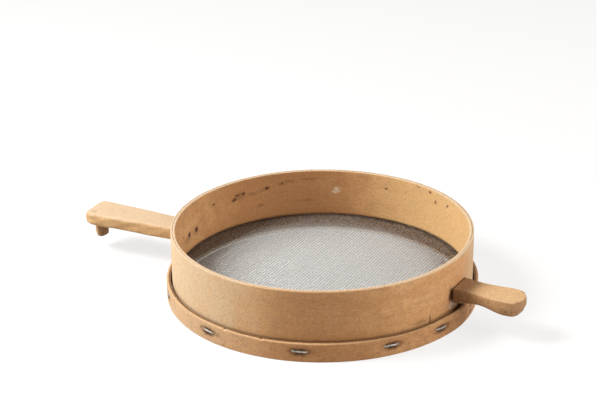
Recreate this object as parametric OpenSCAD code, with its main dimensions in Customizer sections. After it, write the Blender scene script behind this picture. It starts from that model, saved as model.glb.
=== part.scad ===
/* [Drum] */
// Outside diameter of the drum hoop
drum_d = 230; // [180:1:300]
// Full height of the drum hoop
drum_h = 53.5; // [45:0.5:90]
// Wall of the outer drum hoop
drum_wall = 1.6; // [1.2:0.1:3]
// Wall of the liner hoop where it presses the turned-up edge of the cloth
liner_wall = 1.4; // [1.2:0.1:3]
// Length of the slanted joint where the ends of a bent hoop meet
scarf_len = 8; // [5:0.5:14]
// Width of the glue line in that joint
scarf_gap = 0.15; // [0.1:0.05:0.4]
// Direction of the joint in the drum hoop
drum_joint_dir = 342; // [0:1:359]
// Direction of the joint in the liner hoop
liner_joint_dir = 245; // [0:1:359]

/* [Wire cloth] */
// Height of the underside of the cloth above the base
cloth_z = 14; // [10:0.5:20]
// Diameter of one wire
wire_d = 0.28; // [0.2:0.01:0.5]
// Distance from wire to wire
wire_pitch = 1.2; // [1:0.05:4]
// Clearance between the two layers of wires
wire_gap = 0.04; // [0.02:0.01:0.1]
// Width of the clamped rim that holds the ends of the wires
rim_w = 1; // [0.6:0.1:1.2]
// Height of the turned-up edge of the cloth
skirt_h = 11; // [6:0.5:20]
// Clearance between the pieces that are pressed together inside the drum
press_gap = 0.08; // [0.05:0.01:0.12]
// Angle between the wires and the handles
cloth_turn = 3; // [0:1:45]

/* [Foot hoop] */
// Height of the foot hoop
foot_h = 14.8; // [12:0.1:25]
// Wall of the foot hoop
foot_wall = 3.3; // [2.6:0.1:5]
// Clearance between the foot hoop and the drum
foot_gap = 1; // [0.2:0.1:1.5]
// Direction of the place where the foot hoop stands off its drum
stand_off_dir = 355; // [300:1:359]
// Depth of that thinned place
stand_off = 2.1; // [0.5:0.1:2.2]
// Width of that thinned place
stand_off_w = 27; // [20:1:60]
// Direction of the joint in the foot hoop
foot_joint_dir = 16; // [0:1:359]

/* [Staples] */
// Height of the staples above the base
staple_z = 8; // [4:0.5:11]
// Width of a staple across its crown
staple_w = 12.6; // [8:0.2:16]
// Width of the staple wire
staple_wire_w = 1.4; // [0.8:0.1:2]
// Thickness of the staple wire
staple_wire_t = 0.8; // [0.5:0.1:1.2]
// Depth of the staple legs in the wall of the drum
staple_bite = 1; // [0.5:0.1:1.1]
// Amount that a crown stands proud of the hoop
staple_proud = 0.2; // [0:0.1:0.5]

/* [Long handle] */
// Reach of the long handle beyond the drum wall
long_len = 90; // [60:0.5:150]
// Width of the long handle at the drum
long_root_w = 20.5; // [16:0.5:30]
// Width of the long handle at its widest
long_end_w = 30.5; // [20:0.5:45]
// Reach of the flat end to the left of the centre line, seen from the drum
long_tip_left = 9.8; // [6:0.1:12]
// Reach of the flat end to the right of the centre line
long_tip_right = 12.5; // [6:0.1:14]
// Length of the clipped corner on the left
long_clip_left = 9; // [4:0.5:16]
// Length of the clipped corner on the right
long_clip_right = 4; // [2:0.5:16]
// Thickness of the long handle
long_t = 11.5; // [8:0.5:18]
// Height of the underside of the long handle above the base
long_z = 22.5; // [16:0.5:35]
// Direction of the long handle
long_dir = 184; // [170:1:190]
// Sideways offset of its centre line from the drum axis
long_offset = 4.7; // [-8:0.1:8]
// Chamfer along the edges of the long handle
long_chamfer = 1.8; // [0.5:0.1:3]

/* [Peg] */
// Diameter of the peg under the long handle
peg_d = 11.5; // [6:0.5:12]
// Length of the peg below the handle
peg_drop = 12.5; // [6:0.5:15]
// Depth of the peg inside the handle
peg_seat = 7; // [4:0.5:7.5]
// Distance from the end of the handle to the peg axis
peg_inset = 8.5; // [8:0.5:30]
// Width of the flat tip that the slanted cut leaves
peg_tip_w = 5; // [2:0.5:5.5]
// Angle of the slanted cut across the peg
peg_cut = 35; // [20:1:50]

/* [Short handle] */
// Reach of the short handle beyond the drum wall
short_len = 52.5; // [46:0.5:90]
// Width of the short handle at the drum
short_root_w = 22.5; // [16:0.5:30]
// Width of its waist
short_waist_w = 20; // [14:0.5:26]
// Distance from the drum to the waist
short_waist_at = 15.5; // [8:0.5:26]
// Width of its paddle
short_paddle_w = 24.5; // [18:0.5:34]
// Thickness of the short handle
short_t = 11.5; // [8:0.5:18]
// Height of the underside of the short handle above the base
short_z = 21; // [16:0.5:35]
// Depth of the rounded end
short_tip = 13; // [6:0.5:18]
// Rise of its hollowed underside
short_arch = 1.6; // [0:0.1:3]

/* [Nails] */
// Diameter of the handle nails
nail_d = 1.8; // [1.2:0.1:2.6]
// Diameter of their heads
nail_head_d = 4; // [3:0.1:6]
// Length of the nails in the wood of a handle
nail_bite = 16; // [8:0.5:24]
// Distance between the two nails of a handle
nail_pitch = 12; // [6:0.5:12.5]
// Diameter of the tacks
tack_d = 1.2; // [0.8:0.1:1.6]
// Diameter of the tack heads
tack_head_d = 3; // [2:0.1:4]
// Thickness of nail and tack heads
head_t = 0.5; // [0.3:0.1:0.8]
// Depth of the liner tacks in the wall of the drum
tack_bite = 0.9; // [0.5:0.1:1.1]
// Direction of the tacks in the lap of the foot hoop
lap_tack_dir = 7; // [0:1:12]
// Height of the upper one of these tacks above the base
lap_tack_z = 8.5; // [6:0.5:12]
// Distance from tack to tack in the lap
lap_tack_pitch = 4.5; // [3.5:0.5:6]

/* [Hidden] */
$fn = 96;

drum_r = drum_d / 2;
drum_in = drum_r - drum_wall;
cloth_t = 2 * wire_d + wire_gap;
liner_out = drum_in - cloth_t;
liner_in = liner_out - liner_wall;
// Each rim of the cloth is thicker than its wires by this much above and below
rim_extra = wire_gap / 4;
liner_z = cloth_z + cloth_t + rim_extra;
skirt_top = cloth_z + skirt_h;
foot_in = drum_r + foot_gap;
foot_out = foot_in + foot_wall;
// Length by which cutting shapes pass the faces they cut
over = 1;

// Directions of the staples, which were driven by hand
staple_dirs = [16, 50, 84, 118, 152, 187, 222, 256, 292, 324, 346];
// Direction of each tack through the liner, and how far below the rim it sits
liner_tack_dirs = [20, 58, 66, 92, 137, 144, 159, 171, 196, 228, 262, 300, 338];
liner_tack_drops = [11.5, 7.5, 9.5, 11.5, 9.5, 12.5, 14.5, 12.5, 22.5, 10.5, 11.5, 11.5, 9.5];

// Wire cloth: the wires end inside a clamped rim that the liner presses on
rim_out = liner_out;
rim_in = rim_out - rim_w;
wire_reach = (rim_in + rim_out) / 2;
wire_count = floor((rim_in - wire_d) / wire_pitch);
// Flat sides of the rim and of one wire
rim_sides = 96;
wire_sides = 8;

// Long handle, along its own centre line from the drum axis
long_end = drum_r + long_len;
peg_x = long_end - peg_inset;

// Short handle stations along its centre line
short_end = drum_r + short_len;
short_waist_x = drum_r + short_waist_at;
short_wide_x = short_end - short_tip;

// Handle blanks start inside the drum circle, and are cut back to its wall
blank_in = 4;
root_x = drum_r - blank_in;

module ring(r_out, r_in, z0, z1) {
    rotate_extrude()
        translate([r_in, z0])
            square([r_out - r_in, z1 - z0]);
}

// Thin slanted cut that parts a bent hoop where its two ends meet
module scarf(r_mid, wall, z1, dir) {
    lean = asin(min(0.9, wall / scarf_len));
    rotate([0, 0, dir])
        translate([r_mid, 0, z1 / 2])
            rotate([0, 0, -lean])
                cube([scarf_gap, scarf_len + 2 * over, z1 + 2 * over], center = true);
}

// Nail or tack that points outward, with the inner face of its head at x = 0
module nail(d, head_d, length) {
    rotate([0, 90, 0])
        cylinder(d = d, h = head_t + length, $fn = 24);
    rotate([0, 90, 0])
        cylinder(d = head_d, h = head_t, $fn = 32);
}

module drum_hoop() {
    color("burlywood")
    difference() {
        ring(drum_r, drum_in, 0, drum_h);
        scarf((drum_r + drum_in) / 2, drum_wall, drum_h, drum_joint_dir);
        staple_set();
        liner_tacks_all();
        long_nails_all();
        short_nails_all();
    }
}

module liner_hoop() {
    color("tan")
    difference() {
        union() {
            ring(liner_out, liner_in, liner_z, drum_h);
            ring(drum_in - press_gap, liner_in, skirt_top + press_gap, drum_h);
        }
        translate([0, 0, liner_z])
            scarf((drum_in + liner_in) / 2, drum_in - liner_in, drum_h - liner_z, liner_joint_dir);
        liner_tacks_all();
        long_nails_all();
        short_nails_all();
    }
}

// Corners of a regular outline round the drum axis
function corners(r, sides) = [for (i = [0:sides - 1]) r * [cos(360 * i / sides), sin(360 * i / sides)]];

// One layer of parallel wires across the drum, along X, held in a thin rim
module wire_layer(z) {
    translate([0, 0, z - wire_d / 2 - rim_extra])
        linear_extrude(wire_d + 2 * rim_extra)
            difference() {
                polygon(corners(rim_out, rim_sides));
                polygon(corners(rim_in, rim_sides));
            }
    for (i = [-wire_count:wire_count]) {
        y = i * wire_pitch;
        half = sqrt(pow(wire_reach, 2) - pow(y, 2));
        translate([-half, y, z])
            rotate([0, 90, 0])
                cylinder(d = wire_d, h = 2 * half, $fn = wire_sides);
    }
}

module cloth_warp() {
    color("lightgray")
    rotate([0, 0, cloth_turn])
        wire_layer(cloth_z + wire_d / 2);
}

module cloth_weft() {
    color("silver")
    rotate([0, 0, cloth_turn + 90])
        wire_layer(cloth_z + cloth_t - wire_d / 2);
}

module cloth_skirt() {
    color("gray")
    difference() {
        ring(drum_in - press_gap, liner_out + press_gap, cloth_z, skirt_top);
        liner_tacks_all();
        long_nails_all();
        short_nails_all();
    }
}

module staple() {
    crown_x = foot_out + staple_proud - staple_wire_t;
    tip_x = drum_r - staple_bite;
    translate([crown_x, -staple_w / 2, staple_z - staple_wire_w / 2])
        cube([staple_wire_t, staple_w, staple_wire_w]);
    for (side = [-1, 1])
        translate([tip_x, side * (staple_w - staple_wire_t) / 2, staple_z])
            translate([0, -staple_wire_t / 2, -staple_wire_w / 2])
                cube([crown_x + staple_wire_t / 2 - tip_x, staple_wire_t, staple_wire_w]);
}

module staple_set() {
    for (dir = staple_dirs)
        rotate([0, 0, dir])
            staple();
}

module foot_staples() {
    color("dimgray")
    staple_set();
}

module foot_lap_tacks() {
    color("gray")
    foot_tacks_all();
}

// Tacks of the lap point inward from the outer face of the foot hoop
module foot_tacks_all() {
    for (z = [lap_tack_z, lap_tack_z - lap_tack_pitch])
        rotate([0, 0, lap_tack_dir])
            translate([foot_out + head_t / 2, 0, z])
                mirror([1, 0, 0])
                    nail(tack_d, tack_head_d, foot_wall - head_t);
}

module foot_hoop() {
    // The thinned place is a shallow round scoop of the inner face
    scoop_r = 1 / (8 * stand_off / pow(stand_off_w, 2) + 1 / foot_in);
    scoop_x = foot_in + stand_off - scoop_r;
    color("peru")
    difference() {
        ring(foot_out, foot_in, 0, foot_h);
        rotate([0, 0, stand_off_dir])
            translate([scoop_x, 0, -over])
                cylinder(r = scoop_r, h = foot_h + 2 * over);
        scarf((foot_out + foot_in) / 2, foot_wall, foot_h, foot_joint_dir);
        staple_set();
        foot_tacks_all();
    }
}

module liner_tacks_all() {
    head_x = liner_in - head_t / 2;
    for (i = [0:len(liner_tack_dirs) - 1])
        rotate([0, 0, liner_tack_dirs[i]])
            translate([head_x, 0, drum_h - liner_tack_drops[i]])
                nail(tack_d, tack_head_d, drum_in + tack_bite - head_x - head_t);
}

module liner_tacks() {
    color("dimgray")
    liner_tacks_all();
}

// Two nails side by side through both hoops into the butt of a handle
module nail_pair(dir, y, z) {
    for (side = [-1, 1])
        rotate([0, 0, dir])
            translate([nail_x(y + side * nail_pitch / 2), y + side * nail_pitch / 2, z])
                nail(nail_d, nail_head_d, drum_r - liner_in + nail_bite);
}

function nail_x(y) = sqrt(pow(liner_in, 2) - pow(y, 2)) - head_t / 2;

module long_nails_all() {
    nail_pair(long_dir, long_offset, long_z + long_t / 2);
}

module short_nails_all() {
    nail_pair(0, 0, short_z + short_t / 2);
}

module long_handle_nails() {
    color("dimgray")
    long_nails_all();
}

module short_handle_nails() {
    color("dimgray")
    short_nails_all();
}

// Plan of the long handle, made smaller all round by a margin
function long_plan(margin) =
    let (root = long_root_w / 2 - margin, wide = long_end_w / 2 - margin, tip = long_end - margin)
    [[root_x, -root], [long_end - long_clip_right, -wide], [tip, margin / 2 - long_tip_right],
        [tip, long_tip_left - margin / 2], [long_end - long_clip_left, wide], [root_x, root]];

module long_handle() {
    color("burlywood")
    difference() {
        rotate([0, 0, long_dir])
            translate([0, long_offset, long_z])
                hull() {
                    translate([0, 0, long_chamfer])
                        linear_extrude(long_t - 2 * long_chamfer)
                            polygon(long_plan(0));
                    linear_extrude(long_t)
                        polygon(long_plan(long_chamfer));
                }
        cylinder(r = drum_r, h = drum_h);
        long_nails_all();
        peg_blank(long_z - over, long_z + peg_seat);
    }
}

module peg_blank(z0, z1) {
    rotate([0, 0, long_dir])
        translate([peg_x, long_offset, z0])
            cylinder(d = peg_d, h = z1 - z0);
}

module handle_peg() {
    tip_z = long_z - peg_drop;
    color("tan")
    difference() {
        peg_blank(tip_z, long_z + peg_seat);
        // Slanted cut that leaves the peg's tip on the outer side
        rotate([0, 0, long_dir])
            translate([peg_x + peg_d / 2 - peg_tip_w, long_offset, tip_z])
                rotate([0, peg_cut, 0])
                    translate([-2 * peg_d, -peg_d, -2 * peg_d])
                        cube([2 * peg_d, 2 * peg_d, 2 * peg_d]);
    }
}

// Half width of the short handle at a distance x from the drum axis
function short_half(x) =
    x < short_waist_x ? mix(short_root_w, short_waist_w, (x - drum_r) / (short_waist_x - drum_r)) :
    x < short_wide_x ? mix(short_waist_w, short_paddle_w,
        (x - short_waist_x) / (short_wide_x - short_waist_x)) :
    short_paddle_w / 2 * pow(max(0, 1 - pow((x - short_wide_x) / short_tip, 2.5)), 0.4);

// Half of a width that changes smoothly from one size to another
function mix(a, b, s) = (a + (b - a) * (1 - cos(180 * max(0, min(1, s)))) / 2) / 2;

// Height of the hollowed underside at a distance x, which rises between butt and paddle
function short_under(x) =
    let (s = max(0, min(1, (x - drum_r) / (short_wide_x - drum_r))))
    short_z + short_arch * (1 - cos(360 * s)) / 2;

module short_handle() {
    flank = [for (i = [0:14]) drum_r + (short_wide_x - drum_r) * i / 14];
    tip = [for (i = [1:11]) short_wide_x + short_tip * sin(90 * i / 12)];
    xs = concat([root_x], flank, tip);
    n = len(xs);
    outline = concat([for (x = xs) [x, short_half(x)]], [[short_end, 0]],
        [for (i = [n - 1:-1:0]) [xs[i], -short_half(xs[i])]]);
    top_z = short_z + short_t;
    side = concat([[root_x, top_z], [root_x, short_z]], [for (x = flank) [x, short_under(x)]],
        [[short_end, short_z], [short_end, top_z]]);
    color("tan")
    difference() {
        intersection() {
            linear_extrude(top_z + over)
                polygon(outline);
            rotate([90, 0, 0])
                linear_extrude(2 * short_paddle_w, center = true)
                    polygon(side);
        }
        cylinder(r = drum_r, h = drum_h);
        short_nails_all();
    }
}

drum_hoop();
liner_hoop();
cloth_warp();
cloth_weft();
cloth_skirt();
foot_hoop();
foot_staples();
foot_lap_tacks();
liner_tacks();
long_handle();
long_handle_nails();
handle_peg();
short_handle();
short_handle_nails();
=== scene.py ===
"""Looks of a hand-made drum sieve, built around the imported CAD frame.

Lengths in this script are millimetres and angles are degrees, unless a name says otherwise.
Blender's own unit is the metre, so the mesh builders multiply by MM.
"""
import math

import bmesh
import bpy
import numpy as np
from mathutils import Matrix, Vector


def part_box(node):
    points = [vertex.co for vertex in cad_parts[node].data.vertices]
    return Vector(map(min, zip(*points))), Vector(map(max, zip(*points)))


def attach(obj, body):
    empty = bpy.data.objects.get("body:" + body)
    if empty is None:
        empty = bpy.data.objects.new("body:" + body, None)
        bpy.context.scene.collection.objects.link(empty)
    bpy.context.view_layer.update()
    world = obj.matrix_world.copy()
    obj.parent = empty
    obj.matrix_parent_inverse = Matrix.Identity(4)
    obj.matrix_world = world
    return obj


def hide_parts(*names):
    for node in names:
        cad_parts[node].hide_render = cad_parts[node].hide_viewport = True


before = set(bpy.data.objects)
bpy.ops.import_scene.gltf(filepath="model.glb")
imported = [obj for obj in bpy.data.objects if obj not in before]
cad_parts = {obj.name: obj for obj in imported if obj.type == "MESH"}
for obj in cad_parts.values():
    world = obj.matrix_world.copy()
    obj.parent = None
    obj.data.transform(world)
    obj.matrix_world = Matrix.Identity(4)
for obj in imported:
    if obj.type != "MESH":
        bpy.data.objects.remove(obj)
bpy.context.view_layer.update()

MM = 0.001
TAU = 2 * math.pi

# Sizes read from the frame


def radii(name):
    """Smallest and largest distance of a node's corners from the drum axis."""
    points = np.array([v.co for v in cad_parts[name].data.vertices]) / MM
    distance = np.hypot(points[:, 0], points[:, 1])
    return float(distance.min()), float(distance.max())


def heights(name):
    """Lowest and highest z of a node."""
    low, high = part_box(name)
    return low.z / MM, high.z / MM


DRUM_IN, DRUM_OUT = radii("drum_hoop")
DRUM_TOP = heights("drum_hoop")[1]
LINER_IN, LINER_OUT = radii("liner_hoop")
LINER_BOTTOM = heights("liner_hoop")[0]
FOOT_IN, FOOT_OUT = radii("foot_hoop")
FOOT_TOP = heights("foot_hoop")[1]
CLOTH_LOW = heights("cloth_warp")[0]
CLOTH_HIGH = heights("cloth_weft")[1]
STAPLE_LOW, STAPLE_HIGH = heights("foot_staples")
STAPLE_Z = (STAPLE_LOW + STAPLE_HIGH) / 2

# Places and sizes that the frame's boxes don't give
# Directions turn from +X towards +Y, and a fastener in a wall is (direction, z)
STAPLE_DIRS = [16, 50, 84, 118, 152, 187, 222, 256, 292, 324.3, 346.4]
STAPLE_WIDTH = 12.2
LINER_TACKS = [(20, 42), (58, 46), (66, 44), (92, 42), (137, 44), (144, 41), (159, 39),
               (171, 41), (196, 31), (228, 43), (262, 42), (300, 42), (338, 44)]
LAP_TACKS = [(7, 8.5), (7, 4)]
LONG_NAILS = [(183.3, 28.2), (189.5, 28.2)]
SHORT_NAILS = [(356.9, 26.7), (3.1, 26.7)]
DRUM_LAP_DIR = 342.4
FOOT_JOINT_DIR = 16
STAND_OFF_DIR = 355

# The handles reach this far from the drum, and the long one lies beside the line through its axis
LONG_DIR = 184
LONG_OFFSET = 4.7
LONG_REACH = 90
LONG_LOW, LONG_HIGH = heights("long_handle")
SHORT_FLANK = 40
SHORT_TIP = 12.5
SHORT_REACH = SHORT_FLANK + SHORT_TIP
SHORT_LOW, SHORT_HIGH = heights("short_handle")
PEG_INSET = 8.0
PEG_R = 5.25

# Marks on the liner's inner wall, as (direction, z, width, height): brown stains, fainter smudges
# and, at the back, whitish scuffs
LINER_STAINS = [(159.6, 37.8, 7.5, 4.2), (158.0, 41.0, 7.0, 2.8), (155.0, 41.4, 5.0, 4.0),
                (143.6, 41.8, 7.0, 3.4), (171.2, 40.6, 5.5, 2.2), (69.4, 50.4, 5.0, 3.4)]
LINER_SMUDGES = [(156.5, 39.8, 17, 11), (150.5, 39.0, 16, 5), (145.5, 40.6, 17, 5),
                 (137.5, 43.4, 9, 4.4), (134.0, 44.8, 15, 4), (125.0, 46.0, 26, 3),
                 (191.0, 25.5, 20, 9), (184.0, 26.5, 14, 9), (147, 27.5, 12, 4), (127, 27.0, 26, 2.4),
                 (92.0, 42.0, 4.5, 3.6), (76.0, 51.0, 6, 3.4), (66.0, 43.6, 6, 7), (57.8, 46.2, 5, 5)]
LINER_SCUFFS = [(115.2, 34.6, 6, 3), (114.4, 34.6, 3.4, 5.5), (113.6, 36.2, 3.4, 6.5),
                (112.6, 37.6, 4.5, 3.2), (114.4, 36.6, 3.2, 4), (112.8, 35.4, 3.4, 4),
                (113.6, 36.0, 8, 9)]
# Directions of the chips in the foot hoop's upper edge
FOOT_CHIPS = [263.6, 278.2, 231.0]

# Mesh building


def waves(angles, seed, low, high, size):
    """Smooth random change round a full turn, about +-size. angles are radians."""
    dice = np.random.RandomState(seed)
    total = np.zeros_like(angles)
    counts = range(low, high + 1)
    for count in counts:
        total = total + dice.normal() * np.cos(count * angles + dice.uniform(0, TAU))
    return total * size / math.sqrt(len(counts))


def smooth(x):
    """Runs smoothly from 0 at x = 0 to 1 at x = 1."""
    x = np.clip(x, 0, 1)
    return x * x * (3 - 2 * x)


def arc_from(angles, direction):
    """Signed angle in degrees from a direction to each angle."""
    return (np.degrees(angles) - direction + 180) % 360 - 180


def put_in_scene(name, data):
    """New object with the given data."""
    made = bpy.data.objects.new(name, data)
    bpy.context.scene.collection.objects.link(made)
    return made


def make_mesh(name, points, faces, smooth_shading=True):
    """Object in the scene from points in millimetres and faces of corner numbers."""
    mesh = bpy.data.meshes.new(name)
    points = np.asarray(points, dtype=np.float64).reshape(-1, 3) * MM
    mesh.from_pydata(points.tolist(), [], [tuple(int(i) for i in f) for f in faces])
    mesh.update()
    if smooth_shading:
        mesh.polygons.foreach_set("use_smooth", [True] * len(mesh.polygons))
    return put_in_scene(name, mesh)


def grid_faces(rows, columns, wrap_rows=True, wrap_columns=True, first=0):
    """Quads over a grid of points that is stored row by row."""
    row = np.arange(rows if wrap_rows else rows - 1)
    column = np.arange(columns if wrap_columns else columns - 1)
    row, column = np.meshgrid(row, column, indexing="ij")
    up = (row + 1) % rows
    right = (column + 1) % columns
    quads = np.stack([row * columns + column, row * columns + right,
                      up * columns + right, up * columns + column], axis=-1)
    return quads.reshape(-1, 4) + first


def turn_columns(count, steps=()):
    """Angles round the drum in radians, with close pairs where a surface has a step."""
    angles = list(np.arange(count) * 360.0 / count)
    for step in steps:
        angles += [step - 0.06, step + 0.06]
    return np.radians(np.array(sorted(a % 360 for a in angles)))


def hoop_section(low, high, wall_rows, edge_rows, rounding):
    """Closed outline of a strip's cross-section in shares of its wall and millimetres of height.

    Each point is (side, z, pull): side 0 is the inner face and 1 the outer one, and pull is how far
    the rounding takes the point away from that face. rounding gives the radii of the four edges:
    outer low, outer high, inner high and inner low.
    """
    def wall(side, start, end):
        return [(side, z, 0.0) for z in np.linspace(start, end, wall_rows)]

    def edge(side, end, inward, radius, leaves_wall):
        points = []
        quarter = np.linspace(0, 90, edge_rows + 1)
        for turn in quarter[1:] if leaves_wall else quarter[:-1]:
            rise = math.sin(math.radians(turn))
            run = math.cos(math.radians(turn))
            if not leaves_wall:
                rise, run = run, rise
            points.append((side, end + inward * radius * (1 - rise), radius * (1 - run)))
        return points

    outer_low, outer_high, inner_high, inner_low = rounding
    points = wall(1, low + outer_low, high - outer_high)
    points += edge(1, high, -1, outer_high, True) + edge(0, high, -1, inner_high, False)
    points += wall(0, high - inner_high, low + inner_low)
    points += edge(0, low, 1, inner_low, True) + edge(1, low, 1, outer_low, False)
    return np.array(points)


def make_hoop(name, angles, section, shape):
    """Bent strip. shape(angle, side, z, pull) gives the radius and height of every point."""
    side, z, pull = (section[:, k][None, :] for k in range(3))
    turn = angles[:, None]
    radius, height = shape(turn, side, z, pull)
    radius = np.broadcast_to(radius, (len(angles), len(section)))
    height = np.broadcast_to(height, radius.shape)
    points = np.stack([radius * np.cos(turn), radius * np.sin(turn), height], axis=-1)
    return make_mesh(name, points, grid_faces(len(angles), len(section)))


# The three bent hoops
RIM_WAVE = 0.22
HOOP_COLUMNS = 720
FOOT_COLUMNS = 1080
# The drum's lap: half width of its split in degrees, and the height up to which it is open
LAP_SPLIT = 0.2
LAP_TOP = 20
# Bead along the drum's inner foot
BEAD = 1.3
BEAD_H = 2.2
# Space that the thinned foot hoop leaves, deepest at STAND_OFF_DIR
STAND_OFF = 2.1
STAND_OFF_WIDTH = 27


def rim_height(turn, z):
    """Height of a point of the drum, whose rim isn't quite level."""
    reach_down = 14
    share = smooth((z - DRUM_TOP + reach_down) / reach_down)
    dip = RIM_WAVE * 1.6 + waves(turn, 11, 2, 7, RIM_WAVE) + waves(turn, 12, 20, 60, 0.05)
    dip = dip + waves(turn, 13, 90, 260, 0.09)
    return z - share * np.maximum(dip, 0)


def out_of_round(turn, z):
    """Small change of the drum's radius, shared by both of its hoops."""
    return waves(turn, 21, 2, 5, 0.12) * smooth(z / DRUM_TOP)


def drum_shape(turn, side, z, pull):
    """Drum with a split where its strip laps, a recess behind the split and a bead at its inner foot."""
    outer = DRUM_OUT - 0.12 + waves(turn, 31, 8, 30, 0.04)
    lap = arc_from(turn, DRUM_LAP_DIR)
    recess = 0.5 * (lap > 0) * np.clip(1 - lap / 34, 0, 1) * (1 - smooth((z - LAP_TOP) / 7))
    split = 0.7 * (np.abs(lap) < LAP_SPLIT) * (1 - smooth((z - LAP_TOP) / 5))
    outer = outer - recess - split
    inner = DRUM_IN - BEAD * (1 - smooth(z / BEAD_H)) + 0 * turn
    radius = np.where(side > 0.5, outer - pull, inner + pull)
    return radius + out_of_round(turn, z), rim_height(turn, z)


def liner_shape(turn, side, z, pull):
    """Liner with a dent at each tack and nail."""
    dent_size = 2.6
    outer = DRUM_IN - 0.06 + 0 * turn
    inner = LINER_IN + 0.04 + waves(turn, 41, 6, 24, 0.035)
    radius = np.where(side > 0.5, outer - pull, inner + pull)
    for direction, tack_z in LINER_TACKS + LONG_NAILS + SHORT_NAILS:
        along = arc_from(turn, direction) * math.radians(1) * LINER_IN
        dent = 0.3 * np.exp(-(along / dent_size) ** 2 - ((z - tack_z) / dent_size) ** 2)
        radius = radius + np.where(side > 0.5, 0, dent)
    return radius + out_of_round(turn, z), rim_height(turn, z)


def scoop_radius(turn):
    """Radius of the foot hoop's inner face, with the thinned place where it stands off the drum."""
    scoop_r = 1 / (8 * STAND_OFF / STAND_OFF_WIDTH ** 2 + 1 / FOOT_IN)
    scoop_x = FOOT_IN + STAND_OFF - scoop_r
    lean = np.radians(arc_from(turn, STAND_OFF_DIR))
    inside = np.maximum(scoop_r ** 2 - (scoop_x * np.sin(lean)) ** 2, 0)
    reach = scoop_x * np.cos(lean) + np.sqrt(inside)
    return np.where((np.abs(lean) < 0.3) & (reach > FOOT_IN), reach, FOOT_IN)


def staple_tilt(count):
    """Slope of a staple that was driven by hand."""
    return np.random.RandomState(500 + count).uniform(-0.06, 0.06)


def staple_recess(turn, z):
    """Depth of the groove that each staple lies in, deeper at its ends."""
    depth = np.zeros(np.broadcast(turn, z).shape)
    for count, direction in enumerate(STAPLE_DIRS):
        tilt = staple_tilt(count)
        along = arc_from(turn, direction) * math.radians(1) * FOOT_OUT
        across = z - STAPLE_Z - tilt * along
        groove = np.exp(-(along / 7.3) ** 8 - (np.abs(across) / 1.35) ** 4)
        ends = np.exp(-((np.abs(along) - 6.3) / 1.3) ** 2 - (across / 1.5) ** 2)
        depth = depth + 0.62 * groove + 0.5 * ends
    return np.minimum(depth, 1.2)


def foot_shape(turn, side, z, pull):
    """Foot hoop with its joint, staple grooves and chips, inside the frame's box where it is widest."""
    bulge = 0.45 * np.exp(-(arc_from(turn, STAND_OFF_DIR + 2) / 7) ** 2)
    outer = FOOT_OUT - 0.1 + waves(turn, 51, 3, 14, 0.06) + bulge - staple_recess(turn, z)
    joint = np.abs(arc_from(turn, FOOT_JOINT_DIR))
    outer = outer - 0.45 * np.clip(1 - joint / 0.12, 0, 1)
    is_widest = np.abs(np.sin(turn)) > 0.9
    outer = np.minimum(outer, np.where(is_widest, FOOT_OUT, FOOT_OUT + 1))
    inner = scoop_radius(turn)
    radius = np.where(side > 0.5, outer - pull, inner + pull)
    dip = 0.3 + waves(turn, 53, 3, 12, 0.14) + waves(turn, 54, 30, 90, 0.06)
    for count, direction in enumerate(FOOT_CHIPS):
        along = arc_from(turn, direction) * math.radians(1) * FOOT_OUT
        dip = dip + (0.75 - 0.15 * count) * np.exp(-(along / 1.1) ** 4)
    return radius, z - np.maximum(dip, 0) * smooth((z - 9) / 5)


def build_hoops():
    """The drum, its liner and the foot hoop."""
    split_edges = [DRUM_LAP_DIR - LAP_SPLIT, DRUM_LAP_DIR + LAP_SPLIT]
    drum = make_hoop("drum_hoop_wood", turn_columns(HOOP_COLUMNS, split_edges),
                     hoop_section(0, DRUM_TOP, 18, 4, (0.35, 0.55, 0.18, 0.3)), drum_shape)
    liner = make_hoop("liner_hoop_wood", turn_columns(HOOP_COLUMNS),
                      hoop_section(LINER_BOTTOM, DRUM_TOP, 24, 4, (0.2, 0.18, 0.55, 0.5)), liner_shape)
    foot = make_hoop("foot_hoop_wood", turn_columns(FOOT_COLUMNS, [FOOT_JOINT_DIR]),
                     hoop_section(0, FOOT_TOP, 24, 4, (0.5, 0.9, 0.35, 0.3)), foot_shape)
    return drum, liner, foot


# Woven wire cloth
WIRE_R = 0.14
WIRE_PITCH = 1.2
WIRE_SIDES = 6
CLOTH_TURN = 3
CLOTH_SAG = 0.5
# How far a wire as a whole, and a short stretch of it, lies off its place
WIRE_DRIFT = 0.09
WIRE_BEND = 0.07
# How far the weft wires lie shifted towards each other in pairs
PAIR_DRIFT = 0.2


def cloth_height(x, y, reach):
    """Middle height of the cloth, which hangs a little in the middle and isn't quite flat."""
    middle = (CLOTH_LOW + CLOTH_HIGH) / 2
    inward = np.clip(1 - (x * x + y * y) / reach ** 2, 0, 1)
    ripple = 0.12 * np.sin(x / 23 + 1.3) * np.sin(y / 31 + 0.4) + 0.08 * np.sin((x + y) / 17)
    return middle - (CLOTH_SAG + ripple) * inward


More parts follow.
